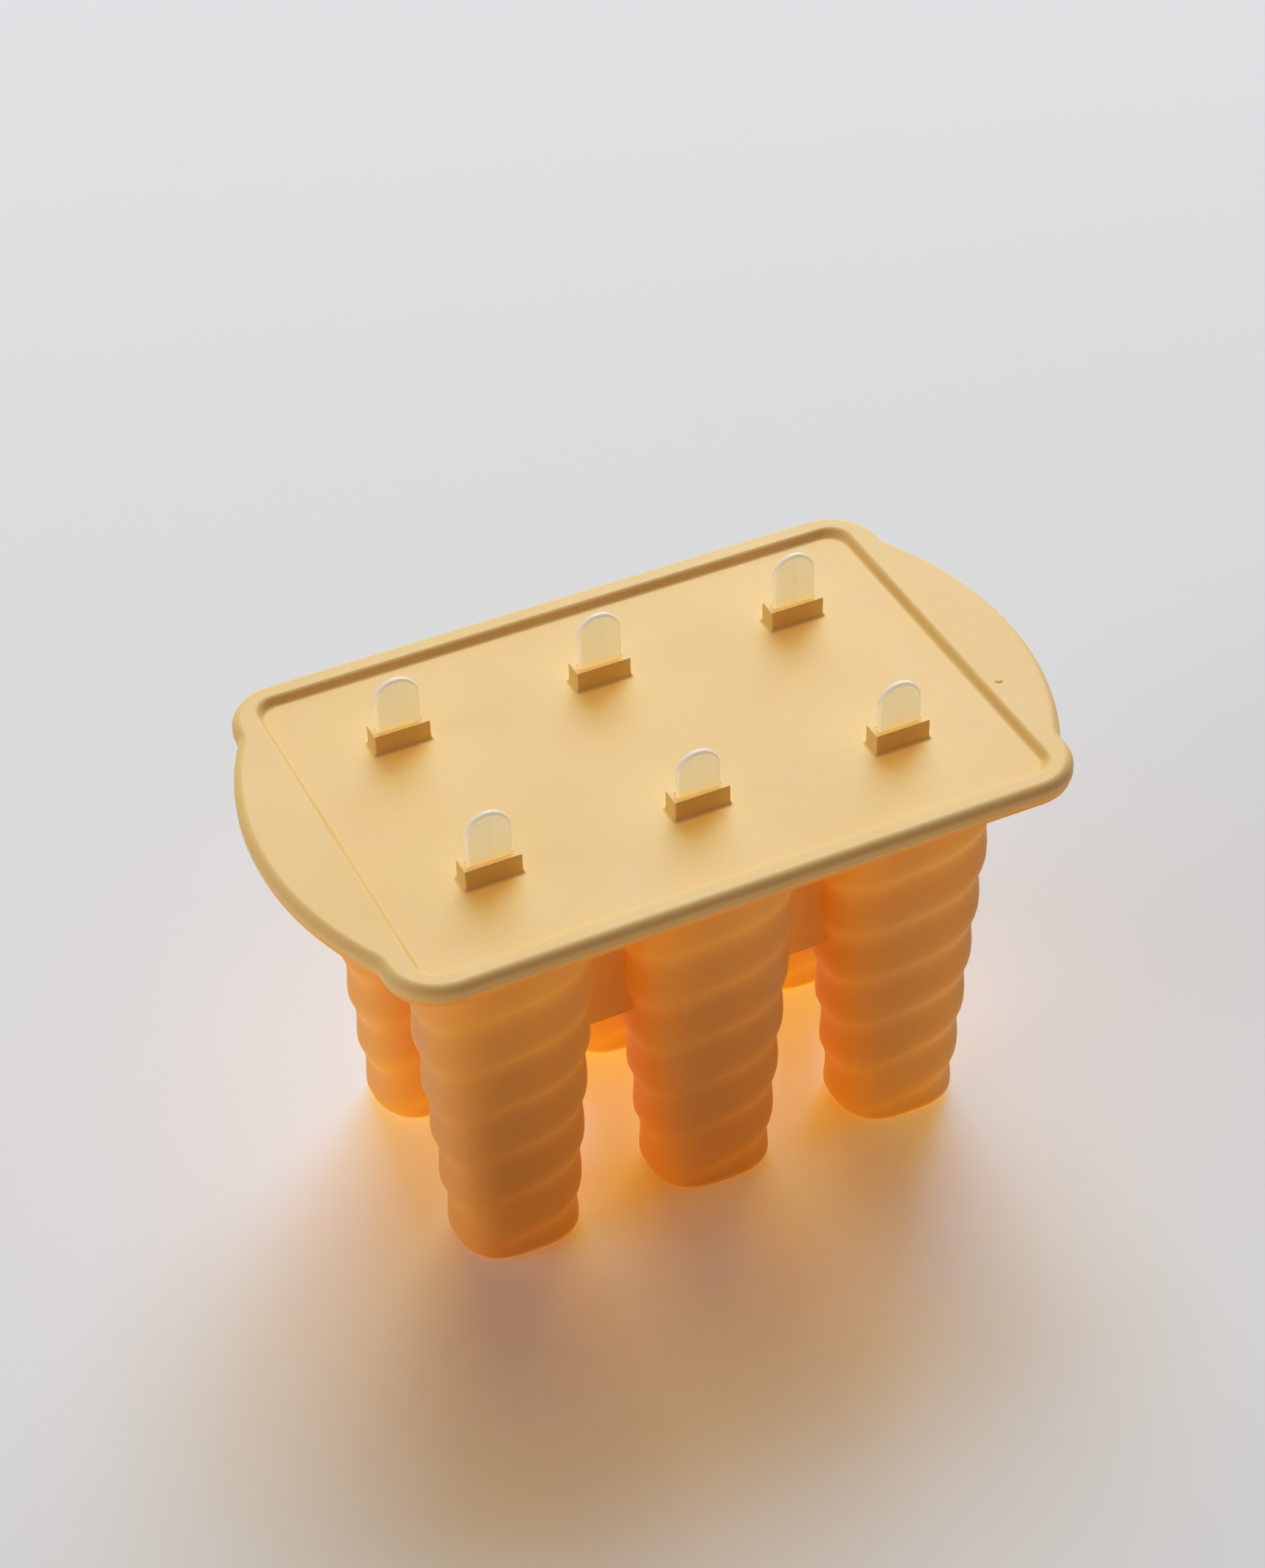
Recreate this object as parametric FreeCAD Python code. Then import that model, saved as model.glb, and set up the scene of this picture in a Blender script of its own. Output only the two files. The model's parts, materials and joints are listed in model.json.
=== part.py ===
import FreeCAD, Part
import math
import os

# Ice pop mold: six twisted silicone cups hanging from one deck, a silicone lid
# with six stick sleeves, and six flat sticks. Millimetres, +Z up. The origin is
# on the surface under the feet, at the middle of the cup grid.

V = FreeCAD.Vector

# Cup grid
COLUMNS = ("left", "middle", "right")
ROWS = ("front", "back")
COLUMN_PITCH = 48.0
ROW_PITCH = 49.0

# Heights above the feet
DECK_TOP = 103.0
PANEL_THICKNESS = 2.0
RIM_RISE = 1.9
SLEEVE_HEIGHT = 5.0
WEB_BOTTOM = 54.0

# Cup outer form: a rounded rectangle that narrows towards the foot
CUP_TOP_LENGTH = 42.6
CUP_TOP_WIDTH = 35.0
CUP_FOOT_LENGTH = 27.2
CUP_FOOT_WIDTH = 23.2
CUP_SQUARENESS = 2.9
CUP_WALL = 2.2

# Plain drafted form of the cup, for the cavity and the foot: corners in flats
CORNER_RADIUS_TOP = 14.0
CORNER_RADIUS_FOOT = 9.0
CORNER_FLATS = 4
FOOT_RADIUS = 3.0
CAVITY_FLOOR_RADIUS = 2.5

# Twist flutes on the cups: two right-handed spiral ridges
FLUTE_STARTS = 2
FLUTE_SPACING = 14.6
FLUTE_DEPTH = 0.6
FLUTE_STEEP_SHARE = 0.28
FLUTE_CREST_HEIGHT = 3.5
FLUTE_STEPS_PER_TURN = 28
FLUTE_SPARE_TURNS = 2

# Deck, flange and webs of the mould
DECK_THICKNESS = 2.4
DECK_MARGIN = 3.0
FLANGE_THICKNESS = 1.2
FLANGE_SETBACK = 0.4
WEB_THICKNESS = 2.4

# Lid outline, shared by the mould's flange: it stands past the cups by two margins
RIM_END_MARGIN = 10.2
RIM_SIDE_MARGIN = 12.5
RIM_CORNER_RADIUS = 12.5
RIM_TOP_EDGE = 1.3
HANDLE_REACH = 10.5
HANDLE_SHOULDER = 2.0
HANDLE_ROOT_RADIUS = 4.0

# Sunken panel of the lid, inside two borders of the rim
PANEL_END_BORDER = 6.8
PANEL_SIDE_BORDER = 5.65
PANEL_CORNER_RADIUS = 5.5
PANEL_STEP_EDGE = 0.9

# Sealing bead on the deck and its groove under the rim
BEAD_WIDTH = 2.4
BEAD_HEIGHT = 1.5
BEAD_OUTER_WALL = 2.3
BEAD_CLEARANCE = 0.3

# Stick sleeves and sticks
SLEEVE_SIDE_WALL = 1.45
SLEEVE_END_WALL = 1.3
SLEEVE_FLARE = 0.65
STICK_WIDTH = 10.3
STICK_THICKNESS = 1.75
STICK_LENGTH = 93.0
STICK_FIT = 0.1
STICK_RISE = 11.9
STICK_RISE_CHANGE = {
    ("front", "left"): 0.3,
    ("front", "middle"): -1.6,
    ("front", "right"): -0.9,
    ("back", "left"): 0.4,
    ("back", "middle"): 1.0,
    ("back", "right"): 0.9,
}

# Gate mark left by moulding on the right grip
GATE_MARK_RADIUS = 0.8
GATE_MARK_RISE = 0.4
GATE_MARK_INSET = 3.0
GATE_MARK_Y = -18.4

# Overrun of cutting forms past the faces they cut
OVERRUN = 1.0

# Tolerance for sewing faces together and for finding edges by their place
MATCH = 0.01

# Heights and sizes that follow from the ones above
PANEL_TOP = DECK_TOP + PANEL_THICKNESS
RIM_TOP = PANEL_TOP + RIM_RISE
SLEEVE_TOP = PANEL_TOP + SLEEVE_HEIGHT
DECK_BOTTOM = DECK_TOP - DECK_THICKNESS
GRID_LENGTH = (len(COLUMNS) - 1) * COLUMN_PITCH + CUP_TOP_LENGTH
GRID_WIDTH = (len(ROWS) - 1) * ROW_PITCH + CUP_TOP_WIDTH
RIM_LENGTH = GRID_LENGTH + 2 * RIM_END_MARGIN
RIM_WIDTH = GRID_WIDTH + 2 * RIM_SIDE_MARGIN
HANDLE_SPAN = RIM_WIDTH - 2 * (RIM_CORNER_RADIUS + HANDLE_SHOULDER)
PANEL_LENGTH = RIM_LENGTH - 2 * PANEL_END_BORDER
PANEL_WIDTH = RIM_WIDTH - 2 * PANEL_SIDE_BORDER
GATE_MARK_X = RIM_LENGTH / 2 - GATE_MARK_INSET
FLUTE_LEAD = FLUTE_STARTS * FLUTE_SPACING
SLOT_LENGTH = STICK_WIDTH + 2 * STICK_FIT
SLOT_WIDTH = STICK_THICKNESS + 2 * STICK_FIT
PLACES = [(row, column) for row in ROWS for column in COLUMNS]


def place(row, column, height=0.0):
    """Centre of a cup of the grid, at a height."""
    x = (COLUMNS.index(column) - (len(COLUMNS) - 1) / 2) * COLUMN_PITCH
    y = (ROWS.index(row) - (len(ROWS) - 1) / 2) * ROW_PITCH
    return V(x, y, height)


def between(foot, top, height):
    """Size at a height when it runs evenly from the foot to the deck."""
    return foot + (top - foot) * height / DECK_TOP


def cup_half_sizes(height):
    """Half length and half width of a cup's outer form at a height."""
    half_length = between(CUP_FOOT_LENGTH, CUP_TOP_LENGTH, height) / 2
    half_width = between(CUP_FOOT_WIDTH, CUP_TOP_WIDTH, height) / 2
    return half_length, half_width


def cup_point(turn, height, outward):
    """Point on the cup's smooth outline, a share of a turn round it, moved outward."""
    half_length, half_width = cup_half_sizes(height)
    across = math.cos(2 * math.pi * turn)
    along = math.sin(2 * math.pi * turn)
    power = 2 / CUP_SQUARENESS
    x = math.copysign(abs(across) ** power, across) * half_length
    y = math.copysign(abs(along) ** power, along) * half_width
    reach = math.hypot(x, y)
    stretch = (reach + outward) / reach
    return V(x * stretch, y * stretch, height)


def flute_line(start_height, outward, first, last):
    """Points of a spiral round the cup, at the steps first to last of its turns."""
    points = []
    for step in range(first, last + 1):
        turn = step / FLUTE_STEPS_PER_TURN
        points.append(cup_point(turn, start_height + FLUTE_LEAD * turn, outward))
    return points


def flute_flank(lower, upper, bottom, top, slab):
    """Faces between two spirals: ruled patches, and trimmed triangles where the slab ends."""
    faces = []
    for corners in zip(lower, lower[1:], upper[1:], upper):
        lowest = min(corner.z for corner in corners)
        highest = max(corner.z for corner in corners)
        first, second, third, fourth = corners
        if lowest >= bottom and highest <= top:
            lower_edge = Part.makeLine(first, second)
            upper_edge = Part.makeLine(fourth, third)
            faces.append(Part.makeRuledSurface(lower_edge, upper_edge))
        elif highest > bottom and lowest < top:
            for triangle in ([first, second, third, first], [first, third, fourth, first]):
                faces += Part.Face(Part.makePolygon(triangle)).common(slab).Faces
    return faces


def level_cap(shell, height):
    """Flat face that closes the shell at a height."""
    rim = []
    for edge in shell.Edges:
        box = edge.BoundBox
        if abs(box.ZMin - height) < MATCH and abs(box.ZMax - height) < MATCH:
            rim.append(edge)
    return Part.Face(Part.Wire(Part.sortEdges(rim)[0]))


def fluted_cup(bottom, top):
    """Solid cup with two spiral ridges, each with a long upper and a short lower flank."""
    steep = FLUTE_STEEP_SHARE * FLUTE_SPACING
    first_turn = (bottom - FLUTE_CREST_HEIGHT) / FLUTE_LEAD - FLUTE_SPARE_TURNS
    last_turn = (top - FLUTE_CREST_HEIGHT) / FLUTE_LEAD + FLUTE_SPARE_TURNS
    first = math.floor(first_turn * FLUTE_STEPS_PER_TURN)
    last = math.ceil(last_turn * FLUTE_STEPS_PER_TURN)
    reach = CUP_TOP_LENGTH
    slab = Part.makeBox(2 * reach, 2 * reach, top - bottom, V(-reach, -reach, bottom))
    faces = []
    for start in range(FLUTE_STARTS):
        crest_height = FLUTE_CREST_HEIGHT + start * FLUTE_SPACING
        valley_height = crest_height - steep
        crest = flute_line(crest_height, FLUTE_DEPTH / 2, first, last)
        valley_below = flute_line(valley_height, -FLUTE_DEPTH / 2, first, last)
        valley_above = flute_line(valley_height + FLUTE_SPACING, -FLUTE_DEPTH / 2, first, last)
        faces += flute_flank(valley_below, crest, bottom, top, slab)
        faces += flute_flank(crest, valley_above, bottom, top, slab)
    side = Part.makeCompound(faces)
    side.sewShape(MATCH)
    shell = Part.makeCompound(side.Faces + [level_cap(side, bottom), level_cap(side, top)])
    shell.sewShape(MATCH)
    solid = Part.Solid(shell.Shells[0])
    if solid.Volume < 0:
        solid.reverse()
    return solid


def plain_outline(height, inset):
    """Cup's rounded rectangle at a height, set in from the wall, with corners in flats."""
    half_length, half_width = cup_half_sizes(height)
    radius = between(CORNER_RADIUS_FOOT, CORNER_RADIUS_TOP, height)
    points = []
    for quarter, (side_x, side_y) in enumerate(((1, 1), (-1, 1), (-1, -1), (1, -1))):
        centre = V(side_x * (half_length - radius), side_y * (half_width - radius), height)
        for step in range(CORNER_FLATS + 1):
            angle = (quarter + step / CORNER_FLATS) * math.pi / 2
            points.append(centre + V(math.cos(angle), math.sin(angle), 0) * (radius - inset))
    return points


def plain_cup(bottom, top, inset, edge_radius):
    """Drafted cup form without flutes, its bottom edge eased in two flats."""
    knee = edge_radius * (1 - math.sqrt(0.5))
    levels = [
        (bottom, inset + edge_radius),
        (bottom + knee, inset + knee),
        (bottom + edge_radius, inset),
        (top, inset),
    ]
    outlines = [plain_outline(height, setting) for height, setting in levels]
    faces = [Part.Face(Part.makePolygon(end + end[:1])) for end in (outlines[0], outlines[-1])]
    for lower, upper in zip(outlines, outlines[1:]):
        for here in range(len(lower)):
            after = (here + 1) % len(lower)
            corners = [lower[here], lower[after], upper[after], upper[here], lower[here]]
            faces.append(Part.Face(Part.makePolygon(corners)))
    solid = Part.Solid(Part.Shell(faces))
    if solid.Volume < 0:
        solid.reverse()
    return solid


def rounded_block(length, width, radius, bottom, top):
    """Upright block with round corners, centred on the grid."""
    block = Part.makeBox(length, width, top - bottom, V(-length / 2, -width / 2, bottom))
    upright = [e for e in block.Edges if e.BoundBox.ZLength > (top - bottom) / 2]
    return block.makeFillet(radius, upright)


def grip_block(setback, bottom, top):
    """Rim outline with a curved grip at each end, set back from the outer edge."""
    length = RIM_LENGTH - 2 * setback
    width = RIM_WIDTH - 2 * setback
    height = top - bottom
    block = rounded_block(length, width, RIM_CORNER_RADIUS - setback, bottom, top)
    half_span = HANDLE_SPAN / 2
    arc_radius = (half_span**2 + HANDLE_REACH**2) / (2 * HANDLE_REACH)
    arc_centre = RIM_LENGTH / 2 + HANDLE_REACH - arc_radius
    for side in (-1, 1):
        disc = Part.makeCylinder(arc_radius - setback, height, V(side * arc_centre, 0, bottom))
        inner = 0 if side > 0 else -RIM_LENGTH
        window = Part.makeBox(RIM_LENGTH, HANDLE_SPAN, height, V(inner, -half_span, bottom))
        block = block.fuse(disc.common(window))
    block = block.removeSplitter()
    roots = []
    for edge in block.Edges:
        box = edge.BoundBox
        upright = box.ZLength > height / 2 and box.XLength < MATCH and box.YLength < MATCH
        at_end = abs(abs(box.XMin) - length / 2) < MATCH
        at_root = abs(box.YMin) < width / 2 - RIM_CORNER_RADIUS + setback - MATCH
        if upright and at_end and at_root:
            roots.append(edge)
    return block.makeFillet(HANDLE_ROOT_RADIUS + setback, roots)


def level_edges(solid, height, length=2 * RIM_LENGTH, width=2 * RIM_WIDTH):
    """Edges that lie flat at a height, inside a rectangle about the grid's centre."""
    found = []
    for edge in solid.Edges:
        box = edge.BoundBox
        flat = abs(box.ZMin - height) < MATCH and box.ZLength < MATCH
        inside_x = max(abs(box.XMin), abs(box.XMax)) < length / 2 + MATCH
        inside_y = max(abs(box.YMin), abs(box.YMax)) < width / 2 + MATCH
        if flat and inside_x and inside_y:
            found.append(edge)
    return found


def bead_ring(growth, bottom, top):
    """Ring under the rim: the sealing bead, or its groove when grown by the clearance."""
    outer_wall = BEAD_OUTER_WALL + BEAD_CLEARANCE - growth
    inner_wall = BEAD_OUTER_WALL + BEAD_CLEARANCE + BEAD_WIDTH + growth
    blocks = []
    for wall in (outer_wall, inner_wall):
        length = RIM_LENGTH - 2 * wall
        width = RIM_WIDTH - 2 * wall
        blocks.append(rounded_block(length, width, RIM_CORNER_RADIUS - wall, bottom, top))
    return blocks[0].cut(blocks[1])


def make_mould():
    """Cups, deck, flange, webs and sealing bead, moulded in one piece."""
    flange = grip_block(FLANGE_SETBACK, DECK_TOP - FLANGE_THICKNESS, DECK_TOP)
    deck_length = GRID_LENGTH + 2 * DECK_MARGIN
    deck_width = GRID_WIDTH + 2 * DECK_MARGIN
    deck = rounded_block(deck_length, deck_width, RIM_CORNER_RADIUS, DECK_BOTTOM, DECK_TOP)
    pieces = [deck, bead_ring(0, DECK_TOP, DECK_TOP + BEAD_HEIGHT)]
    for row in ROWS:
        for left, right in zip(COLUMNS, COLUMNS[1:]):
            start = place(row, left, WEB_BOTTOM)
            length = place(row, right).x - start.x
            corner = start - V(0, WEB_THICKNESS / 2, 0)
            pieces.append(Part.makeBox(length, WEB_THICKNESS, DECK_BOTTOM - WEB_BOTTOM, corner))
    foot_form = plain_cup(0, DECK_TOP, -FLUTE_DEPTH, FOOT_RADIUS)
    cup = fluted_cup(-FLUTE_DEPTH, DECK_TOP - DECK_THICKNESS / 2).common(foot_form)
    pieces += [cup.translated(place(row, column)) for row, column in PLACES]
    mould = flange.multiFuse(pieces).removeSplitter()
    cavity = plain_cup(CUP_WALL, DECK_TOP + OVERRUN, CUP_WALL, CAVITY_FLOOR_RADIUS)
    return mould.cut([cavity.translated(place(row, column)) for row, column in PLACES])


def make_sleeve(centre):
    """Short upright sleeve for one stick, flared where it meets the panel."""
    length = SLOT_LENGTH + 2 * SLEEVE_END_WALL
    width = SLOT_WIDTH + 2 * SLEEVE_SIDE_WALL
    bottom = DECK_TOP + PANEL_THICKNESS / 2
    corner = V(-length / 2, -width / 2, bottom)
    sleeve = Part.makeBox(length, width, SLEEVE_TOP - bottom, corner)
    flare_top = PANEL_TOP + SLEEVE_FLARE
    slope = Part.makeWedge(
        -length / 2 - SLEEVE_FLARE, PANEL_TOP, -width / 2 - SLEEVE_FLARE,
        -width / 2, -length / 2,
        length / 2 + SLEEVE_FLARE, flare_top, width / 2 + SLEEVE_FLARE,
        width / 2, length / 2,
    )
    slope = slope.rotated(V(0, 0, 0), V(1, 0, 0), 90)
    return sleeve.fuse(slope).translated(centre)


def make_lid():
    """Flat panel, rolled rim, two end grips and six stick sleeves, moulded in one piece."""
    lid = grip_block(0, DECK_TOP, RIM_TOP)
    lid = lid.makeChamfer(RIM_TOP_EDGE, level_edges(lid, RIM_TOP))
    pocket = rounded_block(PANEL_LENGTH, PANEL_WIDTH, PANEL_CORNER_RADIUS, PANEL_TOP, RIM_TOP)
    lid = lid.cut(pocket)
    lid = lid.makeChamfer(PANEL_STEP_EDGE, level_edges(lid, RIM_TOP, PANEL_LENGTH, PANEL_WIDTH))
    groove_top = DECK_TOP + BEAD_HEIGHT + BEAD_CLEARANCE
    lid = lid.cut(bead_ring(BEAD_CLEARANCE, DECK_TOP, groove_top))
    sleeves = [make_sleeve(place(row, column)) for row, column in PLACES]
    slots = []
    for row, column in PLACES:
        corner = place(row, column, DECK_TOP - OVERRUN) - V(SLOT_LENGTH / 2, SLOT_WIDTH / 2, 0)
        height = SLEEVE_TOP - DECK_TOP + 2 * OVERRUN
        slots.append(Part.makeBox(SLOT_LENGTH, SLOT_WIDTH, height, corner))
    lid = lid.multiFuse(sleeves).removeSplitter().cut(slots)
    base = V(GATE_MARK_X, GATE_MARK_Y, RIM_TOP)
    mark = Part.makeCone(GATE_MARK_RADIUS, GATE_MARK_RADIUS - GATE_MARK_RISE, GATE_MARK_RISE, base)
    return lid.fuse(mark)


def make_stick(row, column):
    """Flat stick with round ends, standing in its sleeve as high as it was pushed."""
    top = SLEEVE_TOP + STICK_RISE + STICK_RISE_CHANGE[(row, column)]
    radius = STICK_WIDTH / 2
    upper = place(row, column, top - radius) - V(0, STICK_THICKNESS / 2, 0)
    lower = upper - V(0, 0, STICK_LENGTH - STICK_WIDTH)
    corner = lower - V(radius, 0, 0)
    stick = Part.makeBox(STICK_WIDTH, STICK_THICKNESS, STICK_LENGTH - STICK_WIDTH, corner)
    for end in (lower, upper):
        stick = stick.fuse(Part.makeCylinder(radius, STICK_THICKNESS, end, V(0, 1, 0)))
    return stick.removeSplitter()


def save(shape, name):
    """Write one piece as its own file."""
    shape.exportStep("parts/" + name + ".step")


os.makedirs("parts", exist_ok=True)
save(make_mould(), "mould")
save(make_lid(), "lid")
for row, column in PLACES:
    save(make_stick(row, column), "stick_" + row + "_" + column)
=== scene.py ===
import json
import math

import bmesh
import bpy
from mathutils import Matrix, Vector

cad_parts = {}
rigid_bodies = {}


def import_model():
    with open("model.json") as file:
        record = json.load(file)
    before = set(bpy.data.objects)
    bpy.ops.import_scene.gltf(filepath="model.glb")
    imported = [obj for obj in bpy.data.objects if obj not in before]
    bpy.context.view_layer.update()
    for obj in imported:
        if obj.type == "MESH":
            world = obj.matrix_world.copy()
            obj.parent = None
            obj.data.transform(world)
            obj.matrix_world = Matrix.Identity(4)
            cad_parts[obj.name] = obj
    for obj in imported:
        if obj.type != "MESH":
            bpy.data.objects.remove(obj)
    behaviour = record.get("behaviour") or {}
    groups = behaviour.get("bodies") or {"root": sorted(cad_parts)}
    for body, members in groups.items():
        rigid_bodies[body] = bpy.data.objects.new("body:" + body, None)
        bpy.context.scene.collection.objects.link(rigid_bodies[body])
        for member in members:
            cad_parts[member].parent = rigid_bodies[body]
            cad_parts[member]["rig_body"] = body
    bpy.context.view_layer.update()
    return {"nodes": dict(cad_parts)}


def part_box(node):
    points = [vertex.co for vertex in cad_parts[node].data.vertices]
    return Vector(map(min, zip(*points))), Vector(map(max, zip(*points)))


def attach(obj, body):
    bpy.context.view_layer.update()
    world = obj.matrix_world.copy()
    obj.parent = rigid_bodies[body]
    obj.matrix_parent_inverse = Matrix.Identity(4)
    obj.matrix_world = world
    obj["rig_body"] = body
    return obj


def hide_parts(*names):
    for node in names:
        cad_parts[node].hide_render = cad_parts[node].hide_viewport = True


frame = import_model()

# The cups of the mould. Each is a tapered silicone tube with a closed foot, and two spiral flutes
# are wound round it, with a short lower flank, a long upper one and a soft crease between them.
# All six hang in two rows of three and are moulded in one shot with the deck above them.
mm = 0.001
column_places = (-48 * mm, 0.0, 48 * mm)
row_places = (-24.5 * mm, 24.5 * mm)
deck_top = 103 * mm
flange_thickness = 1.2 * mm
cup_foot = (13.6 * mm, 11.6 * mm)
cup_mouth = (21.3 * mm, 17.5 * mm)
cup_squareness = 2.9
cup_sides, cup_rings, rings_crowd_down = 64, 120, 1.15
foot_rounding = 3.0 * mm
flute_spacing = 14.6 * mm
flute_depth = 0.95 * mm
flute_starts = 2
flute_short_flank = 0.34
flute_first_crest = 3.5 * mm


def only(piece):
    """Leaves one piece selected and active."""
    bpy.ops.object.select_all(action="DESELECT")
    piece.select_set(True)
    bpy.context.view_layer.objects.active = piece


def settle(piece, name):
    """Names a piece and moves its place and size into its mesh."""
    only(piece)
    piece.name = name
    piece.data.name = name
    bpy.ops.object.transform_apply(location=True, rotation=True, scale=True)
    return piece


def pick(kind, test):
    """Selects the vertices, edges or faces of the piece being edited that pass a test."""
    bpy.ops.mesh.select_mode(type=kind)
    bpy.ops.mesh.select_all(action="DESELECT")
    mesh = bpy.context.edit_object.data
    form = bmesh.from_edit_mesh(mesh)
    for item in {"VERT": form.verts, "EDGE": form.edges, "FACE": form.faces}[kind]:
        if test(item):
            item.select_set(True)
    bmesh.update_edit_mesh(mesh)


def stands_up(edge):
    """Whether an edge climbs from one height to another."""
    return abs(edge.verts[0].co.z - edge.verts[1].co.z) > mm


def combine(piece, tool, operation):
    """Joins a second form to a piece, or cuts it out of the piece, and uses the second form up."""
    only(piece)
    step = piece.modifiers.new(operation.lower(), "BOOLEAN")
    step.operation = operation
    step.solver = "EXACT"
    step.object = tool
    bpy.ops.object.modifier_apply(modifier=step.name)
    bpy.data.objects.remove(tool)
    return piece


def on_every_place(piece):
    """Copies a piece made at the middle of the grid to the six places, as one mesh."""
    copies = []
    for across in column_places:
        for along in row_places:
            only(piece)
            bpy.ops.object.duplicate()
            copies.append(bpy.context.object)
            copies[-1].location = (across, along, 0)
    bpy.data.objects.remove(piece)
    only(copies[0])
    for copy in copies:
        copy.select_set(True)
    bpy.ops.object.join()
    return settle(copies[0], copies[0].name.split(".")[0])


def flute_rise(share):
    """Rise of the flute's section, from 0 in the soft crease to 1 on the rounded crest."""
    if share < flute_short_flank:
        return (1 - math.cos(math.pi * share / flute_short_flank)) / 2
    return (1 + math.cos(math.pi * (share - flute_short_flank) / (1 - flute_short_flank))) / 2


def signed_power(value, power):
    """Power of a value's size, with the value's sign kept."""
    return math.copysign(abs(value) ** power, value)


def cup_form(name, bottom, top, inset, rounding, sides, rings):
    """A cup's form: a cylinder ringed in edit mode, then drawn to its taper and wound with flutes."""
    bpy.ops.mesh.primitive_cylinder_add(
        vertices=sides, radius=cup_mouth[0], depth=top - bottom, location=(0, 0, (top + bottom) / 2)
    )
    piece = settle(bpy.context.object, name)
    bpy.ops.object.mode_set(mode="EDIT")
    pick("EDGE", stands_up)
    bpy.ops.mesh.subdivide_edgering(number_cuts=rings, interpolation="LINEAR")
    bpy.ops.object.mode_set(mode="OBJECT")
    for vertex in piece.data.vertices:
        share = min(max((vertex.co.z - bottom) / (top - bottom), 0), 1)
        height = bottom + (top - bottom) * share**rings_crowd_down
        half_length, half_width = (
            foot + (mouth - foot) * height / deck_top for foot, mouth in zip(cup_foot, cup_mouth)
        )
        angle = math.atan2(vertex.co.y, vertex.co.x)
        across = math.cos(angle) / half_length
        along = math.sin(angle) / half_width
        reach = (abs(across) ** cup_squareness + abs(along) ** cup_squareness) ** (-1 / cup_squareness)
        half_power = cup_squareness / 2
        turn = math.atan2(signed_power(along, half_power), signed_power(across, half_power))
        climbed = flute_starts * turn / (2 * math.pi)
        phase = (height - flute_first_crest) / flute_spacing + flute_short_flank - climbed
        reach += flute_depth * (flute_rise(phase % 1) - 0.5) - inset
        above = height - bottom
        if above < rounding:
            reach -= rounding - math.sqrt(rounding**2 - (rounding - above) ** 2)
        vertex.co = (reach * math.cos(angle), reach * math.sin(angle), height)
    return piece


cups = cup_form("cups", 0, deck_top - flange_thickness, 0, foot_rounding, cup_sides, cup_rings)
cups = on_every_place(cups)

# The deck, flange and webs of the mould. The deck carries the cups, the thin flange round it has
# the outline of the lid with its two curved grips, and a web joins each cup to the next in its row.
rim_length, rim_width, rim_corner, corner_steps = 159 * mm, 109 * mm, 12.5 * mm, 12
grip_reach, grip_span, grip_root, grip_steps = 10.5 * mm, 80 * mm, 4 * mm, 150
flange_setback, flange_edge = 0.4 * mm, 0.35 * mm
deck_length, deck_width, deck_thickness = 144.6 * mm, 90 * mm, 2.4 * mm
web_length, web_thickness, web_bottom = 36 * mm, 2.4 * mm, 54 * mm
bead_width, bead_height, bead_wall, bead_play = 2.4 * mm, 1.5 * mm, 2.3 * mm, 0.3 * mm
cup_wall, hollow_rounding = 2.2 * mm, 2.5 * mm
hollow_sides, hollow_rings, hollow_overshoot = 48, 80, 3 * mm
level, overlap = 0.01 * mm, 0.3 * mm
sharp, straight = math.radians(30), math.radians(0.05)


def raise_flat(piece, height):
    """Turns a flat outline into a slab."""
    only(piece)
    bpy.ops.object.mode_set(mode="EDIT")
    bpy.ops.mesh.select_all(action="SELECT")
    bpy.ops.mesh.extrude_region_move(TRANSFORM_OT_translate={"value": (0, 0, height)})
    bpy.ops.mesh.select_all(action="SELECT")
    bpy.ops.mesh.normals_make_consistent(inside=False)
    bpy.ops.object.mode_set(mode="OBJECT")
    return piece


def rounded_plate(name, length, width, corner, bottom):
    """Flat rounded rectangle."""
    bpy.ops.mesh.primitive_plane_add(size=1, location=(0, 0, bottom))
    bpy.context.object.scale = (length, width, 1)
    piece = settle(bpy.context.object, name)
    bpy.ops.object.mode_set(mode="EDIT")
    bpy.ops.mesh.select_all(action="SELECT")
    bpy.ops.mesh.bevel(offset=corner, segments=corner_steps, profile=0.5, affect="VERTICES")
    bpy.ops.object.mode_set(mode="OBJECT")
    return piece


def grip_slab(name, setback, bottom, top):
    """Slab with the lid's outline: a rounded rectangle whose ends swell into curved grips."""
    length, width = rim_length - 2 * setback, rim_width - 2 * setback
    piece = rounded_plate(name, length, width, rim_corner - setback, bottom)
    bpy.ops.object.mode_set(mode="EDIT")
    pick("EDGE", lambda edge: min(abs(vertex.co.x) for vertex in edge.verts) > length / 2 - level)
    bpy.ops.mesh.subdivide(number_cuts=grip_steps)
    bpy.ops.object.mode_set(mode="OBJECT")
    arc = ((grip_span / 2) ** 2 + grip_reach**2) / (2 * grip_reach)
    arc_middle = rim_length / 2 + grip_reach - arc
    root, bow = grip_root + setback, arc - setback
    root_middle = length / 2 + root
    root_along = math.sqrt((bow + root) ** 2 - (root_middle - arc_middle) ** 2)
    for vertex in piece.data.vertices:
        along = abs(vertex.co.y)
        if abs(vertex.co.x) < length / 2 - level or along > root_along:
            continue
        if along > root_along * bow / (bow + root):
            reach = root_middle - math.sqrt(root**2 - (root_along - along) ** 2)
        else:
            reach = arc_middle + math.sqrt(bow**2 - along**2)
        vertex.co.x = math.copysign(reach, vertex.co.x)
    raise_flat(piece, top - bottom)
    bpy.ops.object.mode_set(mode="EDIT")
    bpy.ops.mesh.select_all(action="SELECT")
    bpy.ops.mesh.dissolve_limited(angle_limit=straight)
    bpy.ops.object.mode_set(mode="OBJECT")
    return piece


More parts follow.
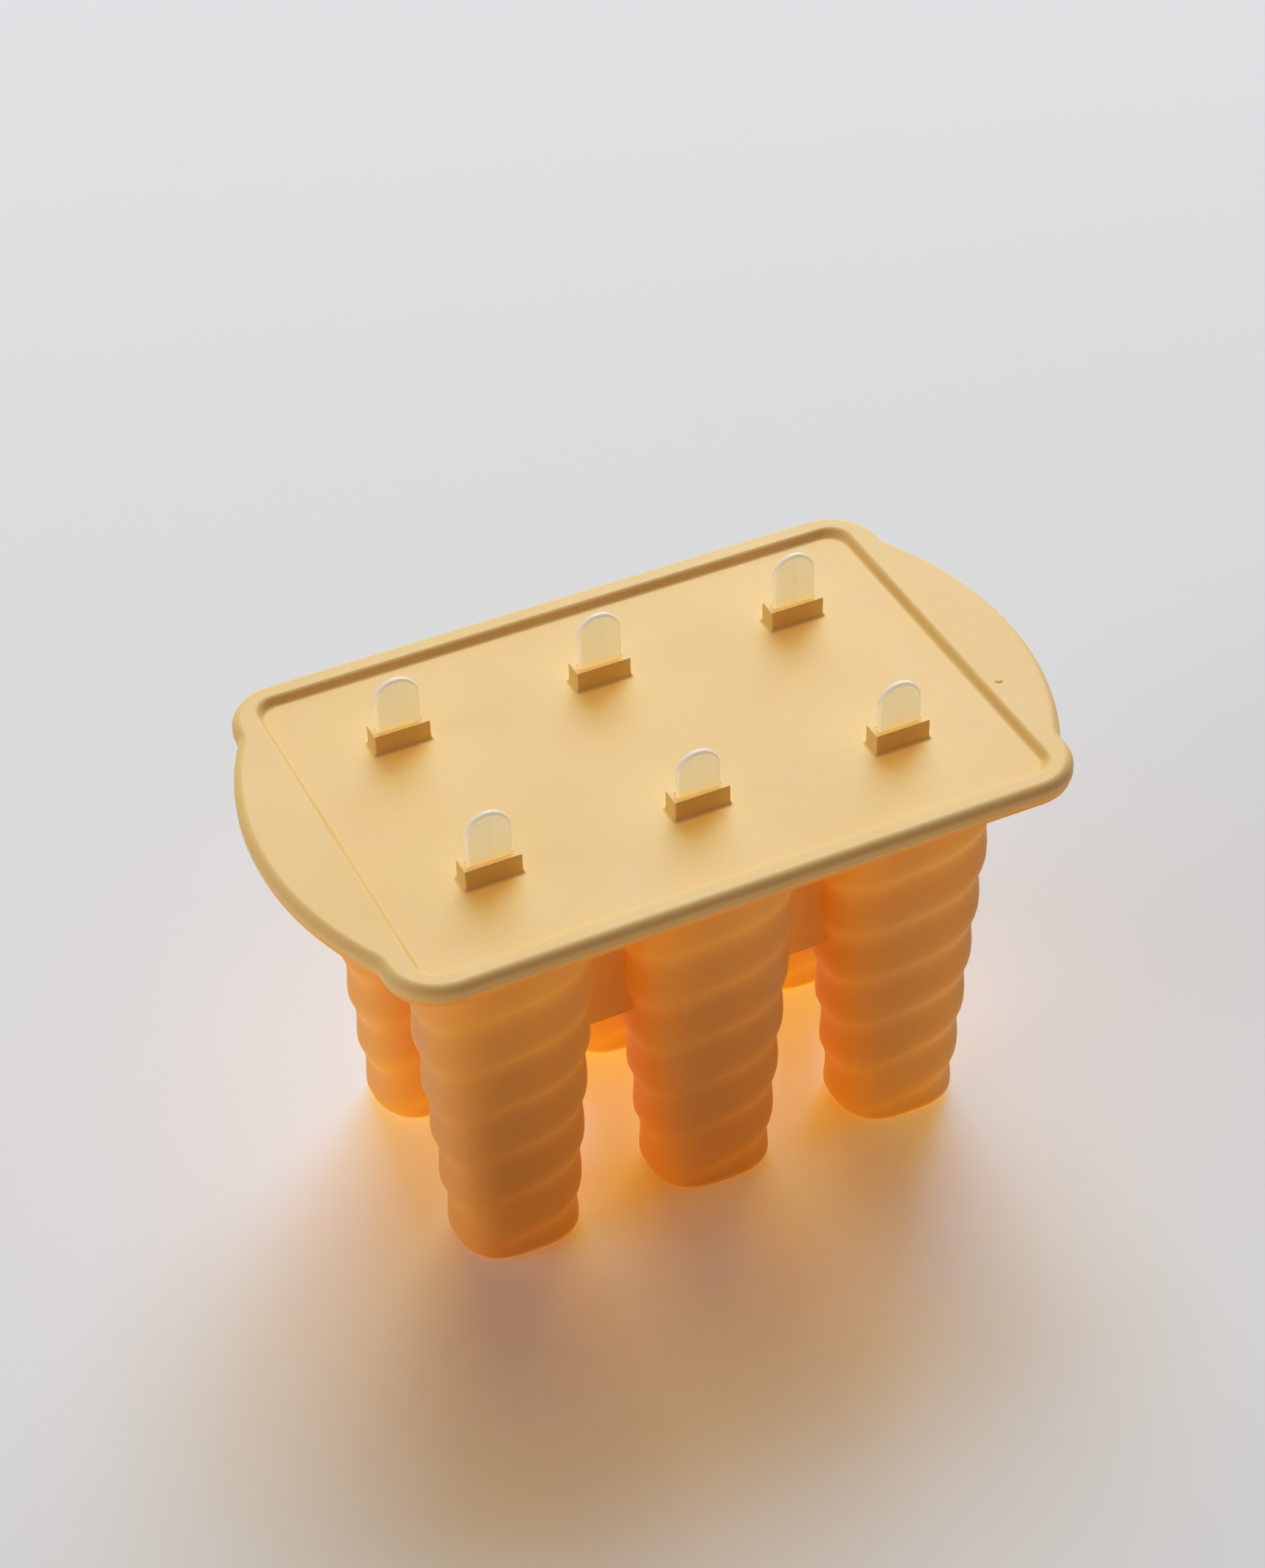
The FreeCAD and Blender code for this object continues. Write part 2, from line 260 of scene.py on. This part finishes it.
def round_level_edges(piece, height, offset, segments, where=lambda place: True):
    """Rounds the edges that lie flat at a height, where their ends pass a test."""
    only(piece)
    bpy.ops.object.mode_set(mode="EDIT")

    def is_level(edge):
        for vertex in edge.verts:
            if abs(vertex.co.z - height) > level or not where(vertex.co):
                return False
        return edge.calc_face_angle(0) > sharp

    pick("EDGE", is_level)
    bpy.ops.mesh.bevel(offset=offset, segments=segments, profile=0.5, affect="EDGES")
    bpy.ops.object.mode_set(mode="OBJECT")


def bead_ring(name, play, bottom, height):
    """Ring under the lid's rim, for the sealing bead and for the groove that takes it."""
    wall = bead_wall + bead_play - play
    piece = rounded_plate(name, rim_length - 2 * wall, rim_width - 2 * wall, rim_corner - wall, bottom)
    only(piece)
    bpy.ops.object.mode_set(mode="EDIT")
    bpy.ops.mesh.select_all(action="SELECT")
    bpy.ops.mesh.inset(thickness=bead_width + 2 * play)
    bpy.ops.mesh.delete(type="FACE")
    bpy.ops.object.mode_set(mode="OBJECT")
    return raise_flat(piece, height)


def shade(piece, sharpest):
    """Shades a piece smooth up to an angle, with its large flat faces left flat."""
    only(piece)
    bpy.ops.object.shade_smooth_by_angle(angle=math.radians(sharpest))
    step = piece.modifiers.new("flat_faces", "WEIGHTED_NORMAL")
    step.keep_sharp = True
    bpy.ops.object.modifier_apply(modifier=step.name)


mould = grip_slab("mould_silicone", flange_setback, deck_top - flange_thickness, deck_top)
round_level_edges(mould, deck_top - flange_thickness, flange_edge, 3)
deck = rounded_plate("deck", deck_length, deck_width, rim_corner, deck_top - deck_thickness)
raise_flat(deck, deck_thickness - overlap)
combine(mould, deck, "UNION")
combine(mould, bead_ring("bead", 0, deck_top - overlap, bead_height + overlap), "UNION")
combine(mould, cups, "UNION")
web_height = deck_top - deck_thickness / 2 - web_bottom
for along in row_places:
    for across in (column_places[0] / 2, column_places[2] / 2):
        bpy.ops.mesh.primitive_cube_add(size=1, location=(across, along, web_bottom + web_height / 2))
        bpy.context.object.scale = (web_length, web_thickness, web_height)
        combine(mould, settle(bpy.context.object, "web"), "UNION")
hollow_top = deck_top + hollow_overshoot
hollow = cup_form("hollow", cup_wall, hollow_top, cup_wall, hollow_rounding, hollow_sides, hollow_rings)
combine(mould, on_every_place(hollow), "DIFFERENCE")
shade(mould, 32)


def silicone_skin():
    """Matt moulded silicone: cloudy tone, a fine grain and roughness that wanders a little."""
    cloud_scale, roughness_wander = 28, 0.06
    grain_scale, grain_strength, grain_height = 1800, 0.35, 0.03 * mm
    skin = bpy.data.node_groups.new("silicone_skin", "ShaderNodeTree")
    for name, kind, value in (
        ("Colour", "NodeSocketColor", (0.8, 0.5, 0.2, 1)),
        ("Deep Colour", "NodeSocketColor", (0.7, 0.4, 0.1, 1)),
        ("Roughness", "NodeSocketFloat", 0.55),
    ):
        skin.interface.new_socket(name, in_out="INPUT", socket_type=kind).default_value = value
    for name, kind in (
        ("Colour", "NodeSocketColor"), ("Roughness", "NodeSocketFloat"), ("Normal", "NodeSocketVector")
    ):
        skin.interface.new_socket(name, in_out="OUTPUT", socket_type=kind)
    nodes, links = skin.nodes, skin.links
    given, result = nodes.new("NodeGroupInput"), nodes.new("NodeGroupOutput")
    place = nodes.new("ShaderNodeTexCoord")
    clouds = nodes.new("ShaderNodeTexNoise")
    clouds.inputs["Scale"].default_value = cloud_scale
    clouds.inputs["Detail"].default_value = 4
    tone = nodes.new("ShaderNodeMix")
    tone.data_type = "RGBA"
    links.new(place.outputs["Object"], clouds.inputs["Vector"])
    links.new(clouds.outputs["Fac"], tone.inputs["Factor"])
    links.new(given.outputs["Colour"], tone.inputs["A"])
    links.new(given.outputs["Deep Colour"], tone.inputs["B"])
    links.new(tone.outputs["Result"], result.inputs["Colour"])
    wander = nodes.new("ShaderNodeMapRange")
    wander.inputs["To Min"].default_value = -roughness_wander
    wander.inputs["To Max"].default_value = roughness_wander
    total = nodes.new("ShaderNodeMath")
    links.new(clouds.outputs["Fac"], wander.inputs["Value"])
    links.new(wander.outputs["Result"], total.inputs[0])
    links.new(given.outputs["Roughness"], total.inputs[1])
    links.new(total.outputs["Value"], result.inputs["Roughness"])
    grain = nodes.new("ShaderNodeTexNoise")
    grain.inputs["Scale"].default_value = grain_scale
    grain.inputs["Detail"].default_value = 2
    relief = nodes.new("ShaderNodeBump")
    relief.inputs["Strength"].default_value = grain_strength
    relief.inputs["Distance"].default_value = grain_height
    links.new(place.outputs["Object"], grain.inputs["Vector"])
    links.new(grain.outputs["Fac"], relief.inputs["Height"])
    links.new(relief.outputs["Normal"], result.inputs["Normal"])
    return skin


def let_through(material, tint, glow, glow_share):
    """Lets tinted light pass the walls: a glow on the far side and a coloured, lighter shadow."""
    nodes, links = material.node_tree.nodes, material.node_tree.links
    far_side = nodes.new("ShaderNodeBsdfTranslucent")
    far_side.inputs["Color"].default_value = (*glow, 1)
    straight_on = nodes.new("ShaderNodeBsdfTransparent")
    straight_on.inputs["Color"].default_value = (*tint, 1)
    ray = nodes.new("ShaderNodeLightPath")
    lit, shaded = nodes.new("ShaderNodeMixShader"), nodes.new("ShaderNodeMixShader")
    lit.inputs["Fac"].default_value = glow_share
    links.new(nodes["Principled BSDF"].outputs["BSDF"], lit.inputs[1])
    links.new(far_side.outputs["BSDF"], lit.inputs[2])
    links.new(ray.outputs["Is Shadow Ray"], shaded.inputs["Fac"])
    links.new(lit.outputs["Shader"], shaded.inputs[1])
    links.new(straight_on.outputs["BSDF"], shaded.inputs[2])
    links.new(shaded.outputs["Shader"], nodes["Material Output"].inputs["Surface"])


def silicone(name, colour, deep_colour, specular, tint, glow, glow_share):
    """Apricot silicone that lets warm light through its thin walls."""
    material = bpy.data.materials.new(name)
    material.use_nodes = True
    nodes, links = material.node_tree.nodes, material.node_tree.links
    skin = nodes.new("ShaderNodeGroup")
    skin.node_tree = bpy.data.node_groups.get("silicone_skin") or silicone_skin()
    skin.inputs["Colour"].default_value = (*colour, 1)
    skin.inputs["Deep Colour"].default_value = (*deep_colour, 1)
    skin.inputs["Roughness"].default_value = 0.52
    body = nodes["Principled BSDF"]
    body.inputs["Subsurface Weight"].default_value = 1.0
    body.inputs["Subsurface Radius"].default_value = (1.0, 0.4, 0.12)
    body.inputs["Subsurface Scale"].default_value = 0.4 * mm
    body.inputs["Specular IOR Level"].default_value = specular
    links.new(skin.outputs["Colour"], body.inputs["Base Color"])
    links.new(skin.outputs["Roughness"], body.inputs["Roughness"])
    links.new(skin.outputs["Normal"], body.inputs["Normal"])
    let_through(material, tint, glow, glow_share)
    return material


# The mould is the same silicone as the lid, but its colour here is a deeper, redder orange: painted
# shade, a shaded copy of the silicone standing in for the shade its cups hang in under the lid.
mould.data.materials.clear()
mould.data.materials.append(
    silicone(
        "mould_silicone", colour=(0.84, 0.46, 0.12), deep_colour=(0.81, 0.42, 0.10), specular=0.3,
        tint=(0.93, 0.80, 0.46), glow=(0.94, 0.70, 0.08), glow_share=0.27,
    )
)
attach(mould, "mould")
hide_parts("mould")

# The lid. It is one piece of the same silicone: a flat panel sunk inside a rolled rim, a flat
# curved grip at each end, and an upright sleeve over every cup that holds the stick. It presses
# onto the mould's bead with a groove under the rim.
rim_top, panel_top = 106.9 * mm, 105 * mm
rim_roll, rim_inner_edge, panel_edge, rim_foot_edge = 2.2 * mm, 0.7 * mm, 0.6 * mm, 0.5 * mm
panel_length, panel_width, panel_corner = 145.4 * mm, 97.7 * mm, 5.5 * mm
slope, pocket_overshoot = 0.55 * mm, 1 * mm
groove_overshoot = 1 * mm
slot_length, slot_width, slot_overshoot = 10.5 * mm, 1.95 * mm, 2 * mm
sleeve_top, sleeve_sunk = 110 * mm, 1 * mm
sleeve_length, sleeve_width = slot_length + 2.6 * mm, slot_width + 2.9 * mm
sleeve_corner, sleeve_top_edge, sleeve_foot_fillet = 0.35 * mm, 0.25 * mm, 0.9 * mm
gate_place, gate_radius, gate_flatness = (76.5 * mm, -18.4 * mm, rim_top), 1 * mm, 0.3


def in_pocket(place):
    """Whether a point lies inside the rim, over the panel or on the slope round it."""
    past = 2 * slope
    return abs(place.x) < panel_length / 2 + past and abs(place.y) < panel_width / 2 + past


def outside_pocket(place):
    """Whether a point lies on the rim or past it."""
    return not in_pocket(place)


lid = grip_slab("lid_silicone", 0, deck_top, rim_top)
floor_sides = (panel_length - 2 * slope, panel_width - 2 * slope)
pocket = rounded_plate("pocket", *floor_sides, panel_corner - slope, panel_top)
raise_flat(pocket, rim_top + pocket_overshoot - panel_top)
growth = 4 * slope * (1 + pocket_overshoot / (rim_top - panel_top))
spread = [1 + growth / side for side in floor_sides]
bpy.ops.object.mode_set(mode="EDIT")
pick("FACE", lambda face: face.calc_center_median().z > rim_top)
bpy.ops.transform.resize(value=(*spread, 1), center_override=(0, 0, 0))
bpy.ops.object.mode_set(mode="OBJECT")
combine(lid, pocket, "DIFFERENCE")
round_level_edges(lid, rim_top, rim_inner_edge, 6, in_pocket)
round_level_edges(lid, panel_top, panel_edge, 6, in_pocket)
round_level_edges(lid, rim_top, rim_roll, 7, outside_pocket)
round_level_edges(lid, deck_top, rim_foot_edge, 3)
groove_depth = bead_height + bead_play
groove = bead_ring("groove", bead_play, deck_top - groove_overshoot, groove_depth + groove_overshoot)
combine(lid, groove, "DIFFERENCE")

bpy.ops.mesh.primitive_cube_add(size=1, location=(0, 0, (panel_top - sleeve_sunk + sleeve_top) / 2))
bpy.context.object.scale = (sleeve_length, sleeve_width, sleeve_top - panel_top + sleeve_sunk)
sleeve = settle(bpy.context.object, "sleeves")
bpy.ops.object.mode_set(mode="EDIT")
pick("EDGE", stands_up)
bpy.ops.mesh.bevel(offset=sleeve_corner, segments=3, affect="EDGES")
bpy.ops.object.mode_set(mode="OBJECT")
round_level_edges(sleeve, sleeve_top, sleeve_top_edge, 3)
combine(lid, on_every_place(sleeve), "UNION")


def is_sleeve_foot(edge):
    """Whether an edge lies where a sleeve meets the panel."""
    near = 0.1 * mm
    for vertex in edge.verts:
        across = min(abs(vertex.co.x - place) for place in column_places)
        along = min(abs(vertex.co.y - place) for place in row_places)
        if across > sleeve_length / 2 + near or along > sleeve_width / 2 + near:
            return False
        if abs(vertex.co.z - panel_top) > level:
            return False
    return edge.calc_face_angle(0) > sharp


only(lid)
bpy.ops.object.mode_set(mode="EDIT")
pick("EDGE", is_sleeve_foot)
bpy.ops.mesh.bevel(offset=sleeve_foot_fillet, segments=5, affect="EDGES")
bpy.ops.object.mode_set(mode="OBJECT")
bpy.ops.mesh.primitive_cube_add(size=1, location=(0, 0, (deck_top + sleeve_top) / 2))
slot_height = sleeve_top - deck_top + 2 * slot_overshoot
bpy.context.object.scale = (slot_length, slot_width, slot_height)
combine(lid, on_every_place(settle(bpy.context.object, "slots")), "DIFFERENCE")
bpy.ops.mesh.primitive_uv_sphere_add(segments=24, ring_count=12, radius=gate_radius, location=gate_place)
bpy.context.object.scale = (1, 1, gate_flatness)
combine(lid, settle(bpy.context.object, "gate_mark"), "UNION")
shade(lid, 32)
# The lid's colour here is paler and yellower than the mould's, though both are one silicone: painted
# light, the lit copy of the silicone, standing in for the light that falls on the lid's top.
lid.data.materials.clear()
lid.data.materials.append(
    silicone(
        "lid_silicone", colour=(0.82, 0.64, 0.22), deep_colour=(0.80, 0.60, 0.19), specular=0.5,
        tint=(0.90, 0.84, 0.70), glow=(0.95, 0.42, 0.05), glow_share=0.12,
    )
)
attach(lid, "lid")
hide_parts("lid")

# The sticks. Each is a flat bar of white plastic, injection moulded with half-round ends and soft
# edges, and stands in its sleeve as high as it was pushed.
stick_width, stick_thickness, stick_length = 10.3 * mm, 1.75 * mm, 93 * mm
stick_edge, end_steps, edge_steps = 0.7 * mm, 18, 6
stick_end = stick_width / 2 * 0.999
stick_tops = {
    "stick_front_left": 122.2, "stick_front_middle": 120.3, "stick_front_right": 121.0,
    "stick_back_left": 122.3, "stick_back_middle": 122.9, "stick_back_right": 122.8,
}

plastic = bpy.data.materials.new("stick_plastic")
plastic.use_nodes = True
nodes, links = plastic.node_tree.nodes, plastic.node_tree.links
body = nodes["Principled BSDF"]
body.inputs["Subsurface Weight"].default_value = 0.7
body.inputs["Subsurface Radius"].default_value = (1.0, 0.9, 0.7)
body.inputs["Subsurface Scale"].default_value = 1.2 * mm
place = nodes.new("ShaderNodeTexCoord")
flow = nodes.new("ShaderNodeTexNoise")
flow.inputs["Scale"].default_value = 160
tone = nodes.new("ShaderNodeMix")
tone.data_type = "RGBA"
tone.inputs["A"].default_value = (0.93, 0.92, 0.89, 1)
tone.inputs["B"].default_value = (0.90, 0.88, 0.84, 1)
finish = nodes.new("ShaderNodeMapRange")
finish.inputs["To Min"].default_value = 0.32
finish.inputs["To Max"].default_value = 0.46
links.new(place.outputs["Object"], flow.inputs["Vector"])
links.new(flow.outputs["Fac"], tone.inputs["Factor"])
links.new(flow.outputs["Fac"], finish.inputs["Value"])
links.new(tone.outputs["Result"], body.inputs["Base Color"])
links.new(finish.outputs["Result"], body.inputs["Roughness"])
let_through(plastic, tint=(0.82, 0.70, 0.48), glow=(0.98, 0.88, 0.66), glow_share=0.36)

for node, top in stick_tops.items():
    low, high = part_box(node)
    middle = (low + high) / 2
    bpy.ops.mesh.primitive_cube_add(size=1, location=(middle.x, middle.y, top * mm - stick_length / 2))
    bpy.context.object.scale = (stick_width, stick_thickness, stick_length)
    stick = settle(bpy.context.object, node + "_plastic")
    bpy.ops.object.mode_set(mode="EDIT")
    pick("EDGE", lambda edge: abs(edge.verts[0].co.y - edge.verts[1].co.y) > mm)
    bpy.ops.mesh.bevel(offset=stick_end, segments=end_steps, affect="EDGES")
    pick("EDGE", lambda edge: abs(edge.verts[0].co.y - edge.verts[1].co.y) < level)
    bpy.ops.mesh.bevel(offset=stick_edge, segments=edge_steps, affect="EDGES")
    bpy.ops.object.mode_set(mode="OBJECT")
    shade(stick, 35)
    stick.data.materials.append(plastic)
    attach(stick, frame["nodes"][node]["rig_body"])
    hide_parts(node)

# The studio. The mould stands on a pale matt floor, with a broad soft lamp behind it, a weak one
# on each side, and pale surroundings that are seen and mirrored but give only a little light.
bpy.ops.mesh.primitive_plane_add(size=8, location=(0, 0, 0))
floor = settle(bpy.context.object, "floor")
paper = bpy.data.materials.new("floor_paper")
paper.use_nodes = True
paper.node_tree.nodes["Principled BSDF"].inputs["Base Color"].default_value = (0.80, 0.80, 0.80, 1)
paper.node_tree.nodes["Principled BSDF"].inputs["Roughness"].default_value = 0.9
floor.data.materials.append(paper)

world = bpy.data.worlds.new("surroundings")
bpy.context.scene.world = world
world.use_nodes = True
nodes, links = world.node_tree.nodes, world.node_tree.links
nodes["Background"].inputs["Color"].default_value = (0.90, 0.95, 1.0, 1)
nodes["Background"].inputs["Strength"].default_value = 0.05
wall = nodes.new("ShaderNodeBackground")
wall.inputs["Color"].default_value = (0.80, 0.82, 0.84, 1)
wall.inputs["Strength"].default_value = 0.85
ray, seen = nodes.new("ShaderNodeLightPath"), nodes.new("ShaderNodeMath")
behind = nodes.new("ShaderNodeMixShader")
seen.operation = "MAXIMUM"
links.new(ray.outputs["Is Camera Ray"], seen.inputs[0])
links.new(ray.outputs["Is Glossy Ray"], seen.inputs[1])
links.new(seen.outputs["Value"], behind.inputs["Fac"])
links.new(nodes["Background"].outputs["Background"], behind.inputs[1])
links.new(wall.outputs["Background"], behind.inputs[2])
links.new(behind.outputs["Shader"], nodes["World Output"].inputs["Surface"])

for name, place, size, power, colour in (
    ("window", (1.75, 3.75, 4.35), 3.7, 328, (0.955, 0.98, 1.0)),
    ("left_side", (-1.9, 0.1, 0.8), 1.2, 12, (0.99, 0.99, 1.0)),
    ("right_side", (2.6, 2.4, 1.5), 1.6, 30, (0.99, 0.99, 1.0)),
):
    bpy.ops.object.light_add(type="AREA", location=place)
    lamp = bpy.context.object
    lamp.name = name
    lamp.data.size = size
    lamp.data.energy = power
    lamp.data.color = colour
    lamp.rotation_euler = (-lamp.location).to_track_quat("-Z", "Y").to_euler()

camera_place = (-0.23822, -0.51956, 0.57440)
camera_turns = [math.radians(turn) for turn in (49.876, 1.409, -25.453)]
bpy.ops.object.camera_add(location=camera_place, rotation=camera_turns)
camera = bpy.context.object
camera.data.sensor_fit = "VERTICAL"
camera.data.sensor_height = 36
camera.data.lens = 78.483
bpy.context.scene.camera = camera
bpy.context.scene.view_settings.view_transform = "Standard"
